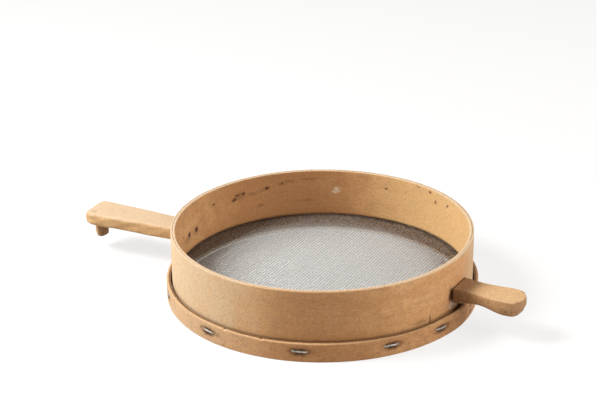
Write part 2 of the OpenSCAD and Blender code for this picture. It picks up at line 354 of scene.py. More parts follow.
def wire_layer(name, along_x, odd):
    """Every second wire that runs one way, each passing over and under the wires that cross it."""
    reach = LINER_OUT - 0.75
    last = int(reach / WIRE_PITCH)
    numbers = [i for i in range(-last, last + 1) if i % 2 == odd]
    dice = np.random.RandomState(71 + 10 * along_x + odd)
    points = []
    faces = []
    start = 0
    turn = np.radians(np.arange(WIRE_SIDES) * 360 / WIRE_SIDES)
    lean = math.radians(CLOTH_TURN)
    for i in numbers:
        side = i * WIRE_PITCH
        if abs(side) > reach - 1.5:
            continue
        chord = math.sqrt(reach ** 2 - side ** 2)
        crossings = int(chord / WIRE_PITCH)
        steps = np.arange(-crossings, crossings + 1)
        run = np.concatenate([[-chord], steps * WIRE_PITCH, [chord]])
        rise = np.concatenate([[0], (-1.0) ** (steps + i), [0]]) * (WIRE_R + 0.01)
        drift = dice.normal() * WIRE_DRIFT
        drift = drift + WIRE_BEND * np.sin(run / dice.uniform(3, 9) + dice.uniform(0, 6))
        if not along_x:
            drift = drift + PAIR_DRIFT * (-1) ** i
            rise = -rise
        x, y = (run, side + drift) if along_x else (side + drift, run)
        z = cloth_height(x, y, reach) + rise
        across = WIRE_R * np.cos(turn)
        ring_x = x[:, None] - (0 * across if along_x else across)
        ring_y = y[:, None] + (across if along_x else 0 * across)
        ring_z = z[:, None] + WIRE_R * np.sin(turn)
        points.append(np.stack([ring_x * math.cos(lean) - ring_y * math.sin(lean),
                                ring_x * math.sin(lean) + ring_y * math.cos(lean),
                                ring_z], axis=-1).reshape(-1, 3))
        faces.append(grid_faces(len(run), WIRE_SIDES, wrap_rows=False, first=start))
        start += len(run) * WIRE_SIDES
    return fast_mesh(name, np.concatenate(points), np.concatenate(faces))


def fast_mesh(name, points, quads):
    """As make_mesh, for large meshes of quads only."""
    mesh = bpy.data.meshes.new(name)
    mesh.vertices.add(len(points))
    mesh.vertices.foreach_set("co", (points * MM).astype(np.float32).ravel())
    mesh.loops.add(quads.size)
    mesh.loops.foreach_set("vertex_index", quads.astype(np.int32).ravel())
    mesh.polygons.add(len(quads))
    mesh.polygons.foreach_set("loop_start", np.arange(0, quads.size, 4, dtype=np.int32))
    mesh.update(calc_edges=True)
    mesh.polygons.foreach_set("use_smooth", np.ones(len(quads), dtype=bool))
    mesh.validate()
    return put_in_scene(name, mesh)


def build_cloth():
    """Four pieces of woven wire, because one mesh would be too large."""
    return [wire_layer("cloth_%s_wires_%d" % (way, odd), way == "warp", odd)
            for way in ("warp", "weft") for odd in (0, 1)]


# Handles and peg


def rounded_outline(half_w, low, high, rounding, count=8, flats=5):
    """Points round a handle's cross-section, a rounded rectangle, as pairs of y and z.

    Each corner has count + 1 points, and each side between two corners has flats more.
    """
    centres = [(half_w - rounding, high - rounding, 0), (-half_w + rounding, high - rounding, 90),
               (-half_w + rounding, low + rounding, 180), (half_w - rounding, low + rounding, 270)]
    corners = []
    for y, z, start in centres:
        turns = [math.radians(start + 90 * k / count) for k in range(count + 1)]
        corners.append([(y + rounding * math.cos(t), z + rounding * math.sin(t)) for t in turns])
    points = []
    for corner, following in zip(corners, corners[1:] + corners[:1]):
        a = np.array(corner[-1])
        b = np.array(following[0])
        points += corner + [tuple(a + (b - a) * k / (flats + 1)) for k in range(1, flats + 1)]
    return points


def loft(name, rings, place):
    """Closed body through equal rings of points. place moves it from the handle's own axes."""
    rows = len(rings)
    columns = len(rings[0])
    points = np.array(rings).reshape(-1, 3)
    faces = [tuple(q) for q in grid_faces(rows, columns, wrap_rows=False)]
    for first, row in ((len(points), 0), (len(points) + 1, rows - 1)):
        ring = [row * columns + k for k in range(columns)]
        for k in range(columns):
            pair = (ring[k], ring[(k + 1) % columns])
            faces.append((pair[1], pair[0], first) if row == 0 else (pair[0], pair[1], first))
    middles = [np.mean(rings[0], axis=0), np.mean(rings[-1], axis=0)]
    points = np.concatenate([points, middles])
    points = np.array([place @ Vector(p) for p in points])
    return make_mesh(name, points, faces)


def rounded_loss(left, radius):
    """How far a rounded end has drawn in at a distance left from its tip."""
    share = 1 - min(left, radius) / radius
    return radius * (1 - math.sqrt(max(0, 1 - share ** 2)))


# Half widths of the long handle at the drum and where it is widest, and its two clipped corners as
# (length, half width at the end). The left one, seen from the drum, is clipped more
LONG_ROOT_HALF = 10.35
LONG_WIDE_HALF = 15.2
LONG_CLIP_LEFT = (9.0, 11.3)
LONG_CLIP_RIGHT = (4.5, 12.6)


def long_half(s, side):
    """Half width of the long handle at a distance s from the drum. side is above 0 on its left."""
    clip, tip_half = LONG_CLIP_LEFT if side > 0 else LONG_CLIP_RIGHT
    wide = LONG_REACH - clip
    if s < wide:
        return LONG_ROOT_HALF + (LONG_WIDE_HALF - LONG_ROOT_HALF) * s / wide
    share = (s - wide) / clip
    return LONG_WIDE_HALF + (tip_half - LONG_WIDE_HALF) * share ** 1.6


def build_long_handle():
    """Flat handle, a little thinner towards its end, with clipped corners and worn edges."""
    rings = []
    blank_half = 10
    end_round = 2.6
    near_end = LONG_REACH - 4 * (1 - np.sin(np.linspace(0, math.pi / 2, 12)))
    stations = list(np.linspace(0, 78, 40)) + list(np.linspace(79, 85.6, 10)) + list(near_end)
    for s in stations:
        x = DRUM_OUT + s
        loss = rounded_loss(LONG_REACH - s, end_round)
        far = smooth((s - 74) / 12)
        top = LONG_HIGH - 0.12 - 0.35 * smooth((s - 82) / 8) - 0.9 * loss
        bottom = LONG_LOW + 0.1 + 0.9 * smooth(s / 80) + 0.8 * loss
        rounding = 2.6 + 0.8 * far
        outline = rounded_outline(blank_half, bottom, top, rounding)
        flat_half = blank_half - rounding
        ring = []
        for y, z in outline:
            half = long_half(s, y) - 0.55 * loss
            wobble = 0.16 * math.sin(s / 7.3 + z * 0.4) + 0.12 * math.sin(s / 3.1 + z * 0.9 + 2)
            past_flat = max(abs(y) - flat_half, 0)
            y = math.copysign((half - rounding) * min(abs(y) / flat_half, 1) + past_flat, y)
            y += wobble * min(1, s / 6) * y / 12
            z += 0.1 * math.sin(s / 9.1 + y * 0.21) * min(1, s / 6)
            butt = math.sqrt(DRUM_OUT ** 2 - (y + LONG_OFFSET) ** 2) - 0.12
            ring.append([x if s > 0 else butt, y, z])
        rings.append(ring)
    rings.append(shrunk(rings[-1], 0.6, (0.1, 0, 0)))
    turn = Matrix.Rotation(math.radians(LONG_DIR), 4, "Z")
    return loft("long_handle_wood", rings, turn @ Matrix.Translation((0, LONG_OFFSET, 0)))


def shrunk(ring, share, step):
    """Copy of a ring drawn towards its middle and moved by a step."""
    ring = np.array(ring)
    middle = ring.mean(axis=0)
    return (middle + (ring - middle) * share + np.array(step)).tolist()


# Half widths of the short handle at the drum, at its waist and at its widest
SHORT_ROOT_HALF = 11.25
SHORT_WAIST_HALF = 10.1
SHORT_WIDE_HALF = 12.3
SHORT_WAIST_AT = 14
# Flat strokes of the knife round its tip, as direction, distance from the drum axis and how much
# further in the stroke lies at the underside
TIP_CUTS = [(-77.4, 46.4, 0.4), (-27.9, 149.4, 0.6), (-3, 166.9, 1.8), (34.3, 140.2, 1.8),
            (69.6, 65.9, 0.6)]


def short_half(s):
    """Half width of the short handle at a distance s from the drum."""
    if s < SHORT_WAIST_AT:
        share = smooth(s / SHORT_WAIST_AT)
        return SHORT_ROOT_HALF + (SHORT_WAIST_HALF - SHORT_ROOT_HALF) * share
    if s < SHORT_FLANK:
        share = smooth((s - SHORT_WAIST_AT) / (SHORT_FLANK - SHORT_WAIST_AT))
        return SHORT_WAIST_HALF + (SHORT_WIDE_HALF - SHORT_WAIST_HALF) * share
    share = min(1, (s - SHORT_FLANK) / SHORT_TIP)
    return SHORT_WIDE_HALF * max(0, 1 - share ** 3) ** (1 / 3)


def clipped(x, y, cuts):
    """Moves a point of the handle inward to the flat of the first cut that it lies outside."""
    for direction, reach in cuts:
        turn = math.radians(direction)
        over = x * math.cos(turn) + y * math.sin(turn) - reach
        if over > 0:
            x -= over * math.cos(turn)
            y -= over * math.sin(turn)
    return x, y


def build_short_handle():
    """Paddle handle with a hollowed underside and a rounded tip that a knife has faceted."""
    rings = []
    tip = SHORT_FLANK + SHORT_TIP * np.sin(np.linspace(0.05, 0.985, 30) * math.pi / 2)
    for s in list(np.linspace(0, SHORT_FLANK, 32)) + list(tip):
        half = max(short_half(s), 1.6)
        loss = rounded_loss(SHORT_REACH - s, 1.5)
        arch = 1.9 * (1 - math.cos(TAU * min(1, s / 41))) / 2
        top = SHORT_HIGH - 0.1 - 0.5 * smooth((s - SHORT_FLANK) / 12) - 0.9 * loss
        bottom = SHORT_LOW + 0.05 + arch + 0.9 * loss
        worn = 1.3 * math.exp(-((s - 24) / 14) ** 2) + 0.5 * smooth((s - 38) / 12)
        rounding = min(half * 0.9, 0.9 + worn)
        outline = rounded_outline(half, bottom, top, rounding)
        ring = []
        for y, z in outline:
            x = DRUM_OUT + s
            y *= 1 + 0.01 * math.sin(s / 4.7 + z * 0.5) * min(1, s / 8)
            butt = DRUM_OUT - 0.25 + 0.12 * max(0, -y - 2) + 0.02 * max(0, y)
            if s > 30:
                under = smooth((SHORT_LOW + 6 - z) / 6)
                x, y = clipped(x, y, [(a, r - u * under) for a, r, u in TIP_CUTS])
            ring.append([x if s > 0 else butt, y, z])
        rings.append(ring)
    rings.append(shrunk(rings[-1], 0.5, (0.1, 0, 0)))
    return loft("short_handle_wood", rings, Matrix.Identity(4))


PEG_SIDES = 9
PEG_COLUMNS = 36
# Height of the peg's rounded tip, and the place of its lowest point, below 0 towards the drum
PEG_TIP_H = 5.5
PEG_LEAN = -1.1


def build_peg():
    """Whittled peg with flat strokes of the knife and a rounded tip."""
    low = heights("handle_peg")[0]
    top = LONG_LOW + 3
    dice = np.random.RandomState(91)
    flats = 1 + dice.uniform(-0.03, 0.03, PEG_SIDES)
    step = TAU / PEG_SIDES

    def reach(turn):
        number = int(turn / step) % PEG_SIDES
        lean = turn % step - step / 2
        return PEG_R * flats[number] * math.cos(step / 2) / math.cos(lean) * 1.03

    def underside(x):
        share = min(1, abs(x - PEG_LEAN) / (PEG_R + 0.3))
        return low + PEG_TIP_H * (1 - math.sqrt(1 - share ** 2.4))

    # Rings are (share of the width, unevenness, height over the underside, share of the way up)
    tip = [(0.03, 0, 0, 0), (0.3, 0, 0, 0), (0.6, 0, 0, 0), (0.84, 0, 0, 0), (0.95, 0, 0.35, 0)]
    shaft = [(0.97 + 0.03 * share, 0.012, 1.1, share) for share in np.linspace(0.0, 1.0, 10)]
    rings = []
    for width, uneven, lift, share in tip + shaft:
        ring = []
        for k in range(PEG_COLUMNS):
            turn = TAU * k / PEG_COLUMNS
            out = reach(turn) * (width + uneven * math.sin(5 * share + 2 * turn))
            x = out * math.cos(turn)
            start = underside(x) + lift
            ring.append([x, out * math.sin(turn), start + (top - start) * share])
        rings.append(ring)
    turn = Matrix.Rotation(math.radians(LONG_DIR), 4, "Z")
    peg_x = DRUM_OUT + LONG_REACH - PEG_INSET
    made = loft("handle_peg_wood", rings, turn @ Matrix.Translation((peg_x, LONG_OFFSET, 0)))
    fix_normals(made)
    return made


# Metal fasteners


def add_body(points, faces, rows):
    """Adds a closed body of equal rings of points to a mesh that is being gathered."""
    first = sum(len(p) for p in points)
    columns = len(rows[0])
    last = first + (len(rows) - 1) * columns
    points.append(np.array(rows).reshape(-1, 3))
    faces += [tuple(q) for q in grid_faces(len(rows), columns, wrap_rows=False, first=first)]
    faces.append(tuple(first + k for k in range(columns))[::-1])
    faces.append(tuple(last + k for k in range(columns)))


def build_staples():
    """Bowed staples with their ends bent into the wood."""
    points = []
    faces = []
    half = STAPLE_WIDTH / 2
    runs = np.concatenate([[-half + 0.1, -half, -half + 0.25], np.linspace(-half + 0.9, half - 0.9, 15),
                           [half - 0.25, half, half - 0.1]])
    crown = 0.45 * smooth((np.abs(runs[3:-3]) - half + 2.6) / 1.5)
    depths = np.concatenate([[1.6, 1.1, 0.7], crown, [0.7, 1.1, 1.6]])
    outline = rounded_outline(0.68, -0.36, 0.36, 0.26, count=3, flats=1)
    for count, direction in enumerate(STAPLE_DIRS):
        dice = np.random.RandomState(600 + count)
        tilt = staple_tilt(count)
        bow = dice.uniform(0.0, 0.25)
        skew = dice.uniform(-0.12, 0.12)
        rows = []
        for run, depth in zip(runs, depths):
            out = FOOT_OUT - 0.52 - depth + bow * math.cos(run / half * math.pi / 2)
            wave = 0.12 * math.sin(run / 2.1 + count)
            row = []
            for across, lift in outline:
                angle = math.radians(direction) + run / FOOT_OUT
                radius = out + lift
                z = STAPLE_Z + tilt * run + wave + across + skew * run / half
                row.append([radius * math.cos(angle), radius * math.sin(angle), z])
            rows.append(row)
        add_body(points, faces, rows)
    return make_mesh("foot_staples_steel", np.concatenate(points), faces)


def build_heads(name, places, radius_at, inward, head_r, seed):
    """Slightly domed and battered heads on a wall. inward is 1 where they face the drum axis."""
    points = []
    faces = []
    sides = 14
    proud = 0.2
    for count, (direction, z) in enumerate(places):
        dice = np.random.RandomState(seed + count)
        centre = math.radians(direction)
        rows = []
        for share, lift in ((0.7, -0.5), (1.0, 0.0), (0.96, 0.55), (0.75, 0.85), (0.4, 1.0)):
            row = []
            for k in range(sides):
                turn = TAU * k / sides
                dented = 1 + 0.1 * math.sin(2 * turn + count) + dice.uniform(-0.03, 0.03)
                reach = head_r * share * dented
                radius = radius_at - inward * (lift * proud - 0.15 + dice.uniform(-0.02, 0.02))
                angle = centre + reach * math.cos(turn) / radius_at
                row.append([radius * math.cos(angle), radius * math.sin(angle),
                            z + reach * math.sin(turn)])
            rows.append(row)
        add_body(points, faces, rows)
    made = make_mesh(name, np.concatenate(points), faces)
    fix_normals(made)
    return made


def fix_normals(made):
    """Turns all faces of closed bodies outward."""
    work = bmesh.new()
    work.from_mesh(made.data)
    bmesh.ops.recalc_face_normals(work, faces=work.faces)
    work.to_mesh(made.data)
    work.free()


# Materials


def node(tree, kind, inputs=None, **settings):
    """Adds a shader node. Its inputs take numbers, colours or the sockets of other nodes."""
    made = tree.nodes.new("ShaderNode" + kind)
    for key, value in settings.items():
        setattr(made, key, value)
    for key, value in (inputs or {}).items():
        if isinstance(value, bpy.types.NodeSocket):
            tree.links.new(value, made.inputs[key])
        else:
            made.inputs[key].default_value = value
    return made


def calc(tree, operation, a, b=0.0, clamp=False):
    """Result of a Math node."""
    return node(tree, "Math", {0: a, 1: b}, operation=operation, use_clamp=clamp).outputs[0]


def vector_calc(tree, operation, a, b=(0, 0, 0), result=0):
    """Result of a Vector Math node. result is 1 where it is a single number."""
    return node(tree, "VectorMath", {0: a, 1: b}, operation=operation).outputs[result]


def noise(tree, where, scale, detail, roughness=0.5, result=0):
    """Noise with scale cells to the metre. result is 1 for its colour."""
    return node(tree, "TexNoise", {"Vector": where, "Scale": scale, "Detail": detail,
                                   "Roughness": roughness}).outputs[result]


def axis_distance(tree, parts):
    """Distance from the drum axis, from the split coordinates."""
    flat = node(tree, "CombineXYZ", {0: parts.outputs[0], 1: parts.outputs[1]}).outputs[0]
    return vector_calc(tree, "LENGTH", flat, result=1)


def blend_colour(tree, share, a, b):
    """Result of a colour Mix node."""
    return node(tree, "Mix", {0: share, 6: a, 7: b}, data_type="RGBA", clamp_factor=True).outputs[2]


def ranged(tree, value, low, high, to_low, to_high):
    """Value mapped smoothly from one range to another."""
    return node(tree, "MapRange", {0: value, 1: low, 2: high, 3: to_low, 4: to_high},
                interpolation_type="SMOOTHSTEP").outputs[0]


def tinted(tree, tone, value, low, high, share, shade):
    """Tone with a share of a shade over it, which sets in as the value runs from low to high."""
    return blend_colour(tree, ranged(tree, value, low, high, 0.0, share), tone, shade)


def colour(red, green, blue):
    """Linear colour from the 0 to 255 numbers of a picture."""
    def linear(value):
        value /= 255
        return value / 12.92 if value <= 0.04045 else ((value + 0.055) / 1.055) ** 2.4
    return (linear(red), linear(green), linear(blue), 1.0)


def new_material(name):
    """Material with its output and shader, and the tree that they are in."""
    made = bpy.data.materials.new(name)
    made.use_nodes = True
    tree = made.node_tree
    tree.nodes.clear()
    shader = node(tree, "BsdfPrincipled")
    node(tree, "OutputMaterial", {0: shader.outputs[0]})
    return made, tree, shader


def grain_noise(tree, vector, extra, size, detail, rough):
    """4D noise whose cells are size = (along, along, across) millimetres."""
    scaled = vector_calc(tree, "MULTIPLY", vector, [1 / (s * MM) for s in size])
    w = calc(tree, "MULTIPLY", extra, 1 / (size[2] * MM))
    made = node(tree, "TexNoise", {"Vector": scaled, "W": w, "Scale": 1.0, "Detail": detail,
                                   "Roughness": rough}, noise_dimensions="4D")
    return made.outputs[0]


def wall_marks(radius, marks):
    """Places, turns and half sizes of marks on a hoop's wall, from (direction, z, width, height)."""
    made = []
    for direction, z, width, height in marks:
        turn = math.radians(direction)
        place = (radius * math.cos(turn), radius * math.sin(turn), z)
        made.append((place, turn, (4, width / 2, height / 2)))
    return made


def mark_field(tree, vector, marks):
    """1 in the middle of each mark, falling to 0 at its edge."""
    total = None
    for place, turn, size in marks:
        local = node(tree, "Mapping", {
            "Vector": vector, "Location": [v * MM for v in place], "Rotation": (0, 0, turn),
            "Scale": [v * MM for v in size]}, vector_type="TEXTURE").outputs[0]
        field = node(tree, "TexGradient", {0: local}, gradient_type="SPHERICAL").outputs[1]
        total = field if total is None else calc(tree, "MAXIMUM", total, field)
    return total


def along_direction(tree, parts, direction):
    """Distance from the drum axis in a direction, in any direction for 'out', or height for 'up'."""
    if direction == "up":
        return parts.outputs[2]
    if direction == "out":
        return axis_distance(tree, parts)
    turn = math.radians(direction)
    return calc(tree, "ADD", calc(tree, "MULTIPLY", parts.outputs[0], math.cos(turn)),
                calc(tree, "MULTIPLY", parts.outputs[1], math.sin(turn)))


def banded(tree, tone, parts, rough, bands):
    """Lays each band's colour over the tone. It sets in from start to end, along a direction."""
    for direction, start, end, shade, share in bands:
        value = along_direction(tree, parts, direction)
        value = calc(tree, "ADD", value, calc(tree, "MULTIPLY", rough, abs(end - start) * MM))
        if start < end:
            cover = ranged(tree, value, start * MM, end * MM, 0.0, share)
        else:
            cover = ranged(tree, value, end * MM, start * MM, share, 0.0)
        tone = blend_colour(tree, cover, tone, shade)
    return tone


ROSY = colour(196, 144, 112)
PATCH_BROWN = colour(126, 84, 54)
# The smudge and stain colours also paint shadows: beside the short handle's butt and on the foot hoop's
# top
SMUDGE_AND_SHADOW_BROWN = colour(116, 80, 56)
STAIN_AND_SHADOW_BROWN = colour(112, 72, 44)
STAIN_AND_SHADOW_DARK = colour(72, 45, 28)
SCUFF_PALE = colour(232, 218, 198)


def marked(tree, tone, where, pores, smudges=(), stains=(), stain_core=0.9, scuffs=()):
    """Lays ragged smudge, stain and scuff marks over the tone; some smudge and stain marks are painted
    shadows. The core argument is how dark stain marks and painted shadows are inside.
    """
    warp = noise(tree, where, 420.0, 3.0, result=1)
    warp = vector_calc(tree, "SUBTRACT", warp, (0.5, 0.5, 0.5))
    warp = node(tree, "VectorMath", {0: warp, "Scale": 2.4 * MM}, operation="SCALE").outputs[0]
    warped = vector_calc(tree, "ADD", where, warp)
    if smudges:
        broken = calc(tree, "ADD", calc(tree, "MULTIPLY", pores, 1.8), 0.1)
        cover = calc(tree, "MULTIPLY", mark_field(tree, warped, smudges), broken)
        tone = tinted(tree, tone, cover, 0.0, 0.9, 0.45, SMUDGE_AND_SHADOW_BROWN)
    if stains:
        spots = mark_field(tree, warped, stains)
        tone = tinted(tree, tone, spots, 0.0, 0.7, 0.75, STAIN_AND_SHADOW_BROWN)
        tone = tinted(tree, tone, spots, 0.3, 0.8, stain_core, STAIN_AND_SHADOW_DARK)
    if scuffs:
        broken = ranged(tree, pores, 0.42, 0.62, 0.2, 1.6)
        cover = calc(tree, "MULTIPLY", mark_field(tree, warped, scuffs), broken)
        tone = tinted(tree, tone, cover, 0.05, 0.8, 0.9, SCUFF_PALE)
    return tone


def end_grained(tree, tone, axis, shade, share):
    """Lays the shade of end grain over the faces that look along the axis."""
    facing = node(tree, "NewGeometry").outputs["Normal"]
    turn = math.radians(axis)
    facing = vector_calc(tree, "DOT_PRODUCT", facing, (math.cos(turn), math.sin(turn), 0), result=1)
    return tinted(tree, tone, facing, 0.45, 0.8, share, shade)


def wood(name, tones, axis=None, seed=0.0, dirt=0.15, bands=(), end_grain=None, **marks):
    """Beech with fine streaks along the grain, short flecks, patches, bands and marks.

    tones are its pale, middle and dark colours. axis is the grain's direction for a straight stick,
    or None for a bent hoop. dirt is the strength of the brown patches all over it, and end_grain the
    colour of the end grain and its share. marks are the arguments of marked.
    """
    pale, mid, dark = tones
    made, tree, shader = new_material(name)
    where = node(tree, "TexCoord").outputs["Object"]
    parts = node(tree, "SeparateXYZ", {0: where})
    if axis is None:
        grain = where
        depth = calc(tree, "ADD", axis_distance(tree, parts), seed)
    else:
        turned = {"Vector": where, "Rotation": (0, 0, -math.radians(axis))}
        grain = node(tree, "Mapping", turned, vector_type="POINT").outputs[0]
        depth = calc(tree, "ADD", 0.0, seed)

    def field(length, width, detail, rough):
        across = length if axis is None else width
        return grain_noise(tree, grain, depth, (length, across, width), detail, rough)

    def cloud(size, detail):
        return noise(tree, where, 1 / (size * MM), detail, 0.6)

    broad = field(60, 8, 3, 0.55)
    streak = field(17, 0.9, 4, 0.65)
    fine = field(5, 0.38, 3, 0.6)
    fleck = field(2.2, 0.34, 1, 0.5)
    mottle = cloud(13, 4.0)
    pores = cloud(1.1, 2.0)
    deep = tuple(c * 0.55 for c in dark[:3]) + (1.0,)

    tone = tinted(tree, mid, broad, 0.3, 0.7, 1.0, pale)
    tone = tinted(tree, tone, mottle, 0.42, 0.72, 0.4, dark)
    tone = tinted(tree, tone, streak, 0.42, 0.72, 0.4, dark)
    tone = tinted(tree, tone, fine, 0.45, 0.72, 0.42, dark)
    tone = tinted(tree, tone, cloud(4.1, 3.0), 0.45, 0.6, 0.3, ROSY)
    tone = tinted(tree, tone, cloud(5, 5.0), 0.5, 0.72, dirt, PATCH_BROWN)
    tone = banded(tree, tone, parts, calc(tree, "SUBTRACT", mottle, 0.5), bands)
    tone = tinted(tree, tone, pores, 0.5, 0.7, 0.55, dark)
    tone = tinted(tree, tone, pores, 0.5, 0.3, 0.35, pale)
    tone = tinted(tree, tone, fleck, 0.6, 0.72, 0.45, deep)
    if end_grain:
        tone = end_grained(tree, tone, axis, *end_grain)
    tone = marked(tree, tone, where, pores, **marks)
    tree.links.new(tone, shader.inputs["Base Color"])

    shine = ranged(tree, streak, 0.3, 0.75, 0.5, 0.68)
    tree.links.new(shine, shader.inputs["Roughness"])
    shader.inputs["Specular IOR Level"].default_value = 0.15
    relief = calc(tree, "ADD", calc(tree, "MULTIPLY", fine, 0.6), calc(tree, "MULTIPLY", streak, 0.8))
    relief = calc(tree, "ADD", relief, calc(tree, "MULTIPLY", pores, 0.35))
    relief = calc(tree, "SUBTRACT", relief, ranged(tree, fleck, 0.62, 0.76, 0.0, 0.35))
    bump = node(tree, "Bump", {"Strength": 0.4, "Distance": 0.12 * MM, "Height": relief})
    tree.links.new(bump.outputs[0], shader.inputs["Normal"])
    return made


def metal(name, bright, dull, roughness, metallic, patch=900.0, dirt_and_shade_rings=()):
    """Worn metal with a dull film in patches.

    patch is the film's scale. The rings are (start, end, share, colour) of dirt and painted shade that
    set in from one distance from the drum axis to another.
    """
    made, tree, shader = new_material(name)
    where = node(tree, "TexCoord").outputs["Object"]
    film = noise(tree, where, patch, 3.0, 0.65)
    tone = tinted(tree, bright, film, 0.42, 0.68, 1.0, dull)
    if dirt_and_shade_rings:
        reach = axis_distance(tree, node(tree, "SeparateXYZ", {0: where}))
        drift = calc(tree, "SUBTRACT", noise(tree, where, 60.0, 3.0), 0.5)
        reach = calc(tree, "ADD", reach, calc(tree, "MULTIPLY", drift, 6 * MM))
        speck = ranged(tree, noise(tree, where, 1300.0, 2.0), 0.42, 0.57, 0.4, 1.25)
        for start, end, share, shade in dirt_and_shade_rings:
            cover = ranged(tree, reach, start * MM, end * MM, 0.0, share)
            tone = blend_colour(tree, calc(tree, "MULTIPLY", cover, speck, clamp=True), tone, shade)
    tree.links.new(tone, shader.inputs["Base Color"])
    shine = ranged(tree, film, 0.3, 0.75, roughness - 0.08, roughness + 0.15)
    tree.links.new(shine, shader.inputs["Roughness"])
    shader.inputs["Metallic"].default_value = metallic
    bump = node(tree, "Bump", {"Strength": 0.3, "Distance": 0.05 * MM, "Height": film})
    tree.links.new(bump.outputs[0], shader.inputs["Normal"])
    return made


def dress(piece, material, slot, *nodes):
    """Gives a piece its finish and its place in the frame."""
    piece.data.materials.clear()
    piece.data.materials.append(material)
    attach(piece, "root")
    if nodes:
        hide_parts(*nodes)


# Camera, floor and light


# The camera's place in metres, its directions and its lens, fitted to the rim and foot of the drum
CAMERA_PLACE = (0.5735, -0.9933, 0.5602)
CAMERA_RIGHT = (0.86006, 0.51010, -0.00955)
CAMERA_UP = (-0.19287, 0.34241, 0.91954)
CAMERA_BACK = (0.47233, -0.78902, 0.39287)
CAMERA_LENS = 99.838


def build_camera():
    """Camera at the photograph's angle."""
    data = bpy.data.cameras.new("camera")
    data.sensor_width = 36
    data.lens = CAMERA_LENS
    data.clip_start = 0.05
    data.clip_end = 50
    camera = put_in_scene("camera", data)
    rows = list(zip(CAMERA_RIGHT, CAMERA_UP, CAMERA_BACK, CAMERA_PLACE))
    camera.matrix_world = Matrix(rows + [(0, 0, 0, 1)])
    bpy.context.scene.camera = camera


FLOOR_HALF = 6000
# Share of plain white in the floor's look, under the drum and outside it. Under the drum, where the
# floor is seen through the cloth, its shading shows nearly in full. The share rises just inside the
# drum's bead, so that a thin ring of floor there glows: a painted highlight seen through the cloth
FLOOR_GLOW_UNDER = 0.06
FLOOR_GLOW = 0.76
# The floor's glow sets in between these radii, just inside the bead: a painted highlight seen through
# the cloth
GLOW_START = DRUM_IN - 3.4
GLOW_END = DRUM_IN - 1.6
FLOOR_BRIGHT = (0.96, 0.955, 0.95, 1)
# Colour by which the floor throws light back onto the object
FLOOR_MATT = (0.49, 0.48, 0.46, 1)
WHITE = (1, 1, 1, 1)


def sees_white(tree):
    """1 for the rays that find floor and world white: from the camera, a mirror or through glass."""
    path = node(tree, "LightPath").outputs
    seen = calc(tree, "MAXIMUM", path["Is Camera Ray"], path["Is Glossy Ray"])
    return calc(tree, "MAXIMUM", seen, path["Is Transmission Ray"])


def build_floor():
    """White floor that keeps a light shadow of the object, and throws back a moderate light."""
    corners = [(FLOOR_HALF * x, FLOOR_HALF * y, 0) for x, y in ((-1, -1), (1, -1), (1, 1), (-1, 1))]
    floor = make_mesh("floor", corners, [(0, 1, 2, 3)], smooth_shading=False)
    made = bpy.data.materials.new("floor_white")
    made.use_nodes = True
    tree = made.node_tree
    tree.nodes.clear()
    where = node(tree, "NewGeometry").outputs["Position"]
    reach = vector_calc(tree, "LENGTH", where, result=1)
    glow_share = ranged(tree, reach, GLOW_START * MM, GLOW_END * MM, FLOOR_GLOW_UNDER, FLOOR_GLOW)
    matt = node(tree, "BsdfDiffuse", {"Color": FLOOR_MATT}).outputs[0]
    bright = node(tree, "BsdfDiffuse", {"Color": FLOOR_BRIGHT}).outputs[0]
    glow = node(tree, "Emission", {"Color": WHITE, "Strength": 1.0}).outputs[0]
    shown = node(tree, "MixShader", {0: glow_share, 1: bright, 2: glow}).outputs[0]
    mixed = node(tree, "MixShader", {0: sees_white(tree), 1: matt, 2: shown})
    node(tree, "OutputMaterial", {0: mixed.outputs[0]})
    floor.data.materials.append(made)


FILL_COLOUR = (1.0, 0.89, 0.77, 1)
FILL_STRENGTH = 0.095


def build_world():
    """White to the camera, and a soft warm fill on the object."""
    world = bpy.data.worlds.new("studio")
    bpy.context.scene.world = world
    world.use_nodes = True
    tree = world.node_tree
    tree.nodes.clear()
    white = node(tree, "Background", {"Color": WHITE, "Strength": 1.0}).outputs[0]
    fill = node(tree, "Background", {"Color": FILL_COLOUR, "Strength": FILL_STRENGTH})
    mixed = node(tree, "MixShader", {0: sees_white(tree), 1: fill.outputs[0], 2: white})
    node(tree, "OutputWorld", {0: mixed.outputs[0]})


def build_lamp(name, direction, height, distance, size, energy, tint):
    """Soft square lamp that points at the middle of the drum."""
    data = bpy.data.lights.new(name, "AREA")
    data.shape = "SQUARE"
    data.size = size
    data.energy = energy
    data.color = tint
    lamp = put_in_scene(name, data)
    turn = math.radians(direction)
    lift = math.radians(height)
    back = Vector((math.cos(turn) * math.cos(lift), math.sin(turn) * math.cos(lift), math.sin(lift)))
    lamp.location = back * distance + Vector((0, 0, 0.03))
    lamp.rotation_euler = back.to_track_quat("Z", "Y").to_euler()


# The scene
build_camera()
build_floor()
build_world()
build_lamp("key", 212, 46, 1.5, 0.6, 30.5, (1.0, 0.99, 0.975))
build_lamp("side", 6, 32, 1.5, 1.4, 18.3, (1.0, 0.975, 0.94))

# Pale, middle and dark tones of the woods
BEECH = (colour(232, 184, 132), colour(221, 170, 116), colour(186, 130, 80))
GOLD_BEECH = (colour(226, 189, 140), colour(218, 178, 127), colour(188, 143, 96))
BROWN_BEECH = (colour(218, 178, 132), colour(204, 161, 112), colour(160, 112, 70))
PEG_BEECH = (colour(236, 192, 146), colour(224, 178, 132), colour(170, 126, 88))
FOOT_BEECH = (colour(228, 178, 127), colour(213, 160, 108), colour(174, 120, 76))
# Colours of wear and dirt, and of painted light and shade
CREAM = colour(214, 196, 170)
AGED = colour(200, 168, 128)
# Painted light on the liner's inner wall where it faces the key lamp
PAINTED_LIGHT_GOLD = colour(238, 200, 142)
# Painted highlight along the drum's inner bead, seen through the cloth
BEAD_HIGHLIGHT = colour(246, 234, 212)
